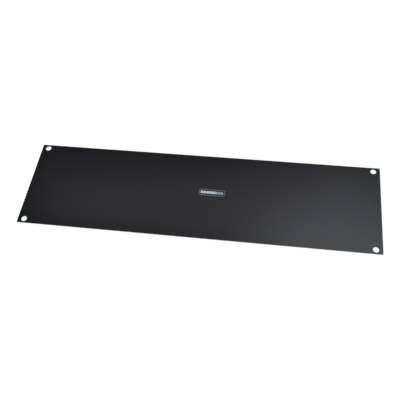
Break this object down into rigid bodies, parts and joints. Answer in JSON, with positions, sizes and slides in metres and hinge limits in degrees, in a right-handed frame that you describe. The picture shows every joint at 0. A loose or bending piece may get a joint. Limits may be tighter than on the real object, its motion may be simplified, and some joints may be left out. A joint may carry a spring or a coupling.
{
  "type": "rack blanking panel",
  "caption": "Flat steel blanking panel that closes three units of a 19-inch rack, with a screw hole near each corner and a small nameplate on its front.",
  "frame": {"origin": "middle of the panel's back face, which it lies on", "axes": "+X along the panel's length, to the right as seen from the front; +Y up the panel to its top edge; +Z out of its front face"},
  "size_m": [0.4826, 0.1326, 0.0018],
  "materials": {
    "black_coat": "satin",
    "nameplate": "gloss",
    "print_white": "satin",
    "print_blue": "satin"
  },
  "bodies": {
    "root": {"panel": "black_coat", "nameplate": "nameplate"}
  },
  "joints": []
}
